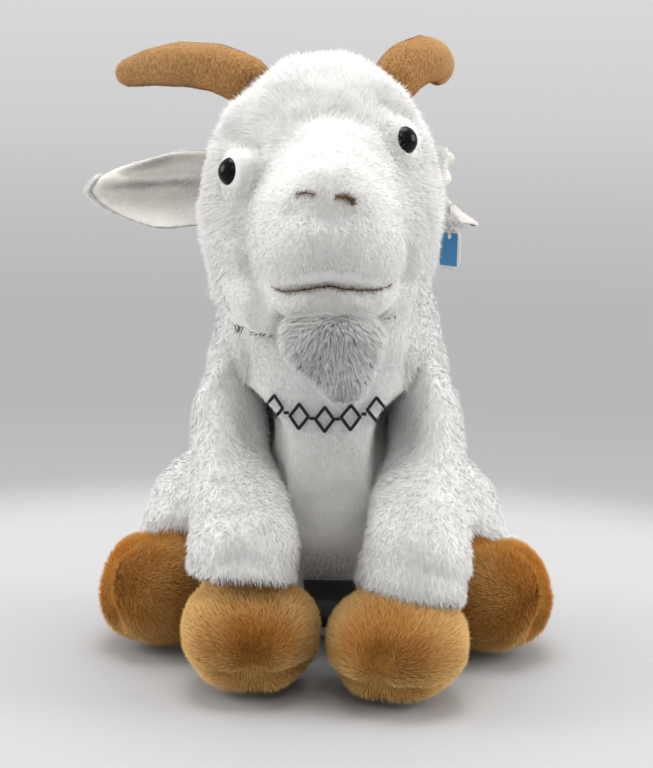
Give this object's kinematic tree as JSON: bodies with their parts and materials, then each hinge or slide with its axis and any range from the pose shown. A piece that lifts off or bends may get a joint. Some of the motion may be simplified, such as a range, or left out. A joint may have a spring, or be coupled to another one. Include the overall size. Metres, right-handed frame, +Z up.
{
  "type": "stuffed goat toy",
  "caption": "Sitting plush goat with white fur, tan stuffed horns and cloven hooves, a beard, lop ears and an embroidered chest, whose head, ears, legs and tail move.",
  "frame": {"origin": "centre of the seat panel's underside, on the surface that the toy sits on", "axes": "+Z up through the head, -Y the way the goat faces, +X towards the goat's left side"},
  "size_m": [0.2508, 0.2614, 0.3259],
  "materials": {
    "long_pile_plush": "soft long pile",
    "short_pile_plush": "soft short pile",
    "beard_fur": "long loose fur",
    "tan_plush": "soft short pile",
    "tan_suede_cloth": "fine short nap",
    "lining_cloth": "plain woven",
    "fibre_filling": "loose fibre",
    "bag_cloth": "plain woven",
    "plastic_pellets": "loose pellets",
    "label_ribbon": "satin",
    "black_thread": "satin stitch",
    "brown_thread": "satin stitch",
    "eye_plastic": "polished",
    "white_plastic": "smooth",
    "ear_lining_cloth": "smooth short nap",
    "tag_card": "coated card"
  },
  "bodies": {
    "torso": {"torso_skin": "long_pile_plush", "chest_panel": "short_pile_plush", "seat_panel": "lining_cloth", "torso_stuffing": "fibre_filling", "pellet_bag": "bag_cloth", "pellet_fill": "plastic_pellets", "care_label": "label_ribbon", "chest_embroidery": "black_thread"},
    "neck": {"neck_panel": "lining_cloth"},
    "head": {"head_skin": "long_pile_plush", "chin_skin": "short_pile_plush", "head_stuffing": "fibre_filling", "goatee": "beard_fur", "mouth_stitching": "brown_thread", "nostril_stitching": "brown_thread", "right_eye": "eye_plastic", "left_eye": "eye_plastic", "right_eye_washer": "white_plastic", "left_eye_washer": "white_plastic", "right_horn_skin": "tan_suede_cloth", "left_horn_skin": "tan_suede_cloth", "right_horn_stuffing": "fibre_filling", "left_horn_stuffing": "fibre_filling", "right_horn_seam": "brown_thread", "left_horn_seam": "brown_thread"},
    "right_ear": {"right_ear_back": "long_pile_plush", "right_ear_lining": "ear_lining_cloth"},
    "left_ear": {"left_ear_back": "long_pile_plush", "left_ear_lining": "ear_lining_cloth", "tag_fastener": "white_plastic"},
    "tag": {"swing_tag": "tag_card"},
    "right_foreleg": {"right_foreleg_sleeve": "long_pile_plush", "right_fore_hoof": "tan_plush", "right_foreleg_stuffing": "fibre_filling"},
    "left_foreleg": {"left_foreleg_sleeve": "long_pile_plush", "left_fore_hoof": "tan_plush", "left_foreleg_stuffing": "fibre_filling"},
    "right_hind_leg": {"right_thigh_skin": "long_pile_plush", "right_hind_hoof": "tan_plush", "right_hind_leg_stuffing": "fibre_filling"},
    "left_hind_leg": {"left_thigh_skin": "long_pile_plush", "left_hind_hoof": "tan_plush", "left_hind_leg_stuffing": "fibre_filling"},
    "tail": {"tail_skin": "long_pile_plush", "tail_stuffing": "fibre_filling"}
  },
  "joints": [
    {"name": "neck_turn", "type": "hinge", "parent": "torso", "child": "neck", "pos_m": [0, 0.012, 0.165], "axis": [0, 0, 1], "range_deg": [-25, 25], "stiffness_Nm_per_rad": 0.6},
    {"name": "head_nod", "type": "hinge", "parent": "neck", "child": "head", "pos_m": [0, 0.012, 0.165], "axis": [1, 0, 0], "range_deg": [-10, 8], "stiffness_Nm_per_rad": 2},
    {"name": "right_ear_flap", "type": "hinge", "parent": "head", "child": "right_ear", "pos_m": [-0.07, 0.01, 0.244], "axis": [0.1392, 0, 0.9903], "range_deg": [-30, 15], "stiffness_Nm_per_rad": 0.02},
    {"name": "left_ear_flap", "type": "hinge", "parent": "head", "child": "left_ear", "pos_m": [0.06, 0.016, 0.246], "axis": [-0.1392, 0, 0.9903], "range_deg": [-40, 5], "stiffness_Nm_per_rad": 0.02},
    {"name": "tag_swing", "type": "hinge", "parent": "left_ear", "child": "tag", "pos_m": [0.065, 0.025, 0.219], "axis": [0.4695, -0.8829, 0], "range_deg": [-5, 28]},
    {"name": "right_foreleg_lift", "type": "hinge", "parent": "torso", "child": "right_foreleg", "pos_m": [-0.051, -0.011, 0.124], "axis": [-1, 0, 0], "range_deg": [0, 20], "stiffness_Nm_per_rad": 0.6},
    {"name": "left_foreleg_lift", "type": "hinge", "parent": "torso", "child": "left_foreleg", "pos_m": [0.051, -0.011, 0.124], "axis": [-1, 0, 0], "range_deg": [0, 20], "stiffness_Nm_per_rad": 0.6},
    {"name": "right_hind_leg_lift", "type": "hinge", "parent": "torso", "child": "right_hind_leg", "pos_m": [-0.065, 0.032, 0.0505], "axis": [-1, 0, 0], "range_deg": [0, 20], "stiffness_Nm_per_rad": 0.6},
    {"name": "left_hind_leg_lift", "type": "hinge", "parent": "torso", "child": "left_hind_leg", "pos_m": [0.065, 0.032, 0.0505], "axis": [-1, 0, 0], "range_deg": [0, 20], "stiffness_Nm_per_rad": 0.6},
    {"name": "tail_wag", "type": "hinge", "parent": "torso", "child": "tail", "pos_m": [0, 0.085, 0.066], "axis": [0, 0, 1], "range_deg": [-25, 25], "stiffness_Nm_per_rad": 0.02}
  ]
}
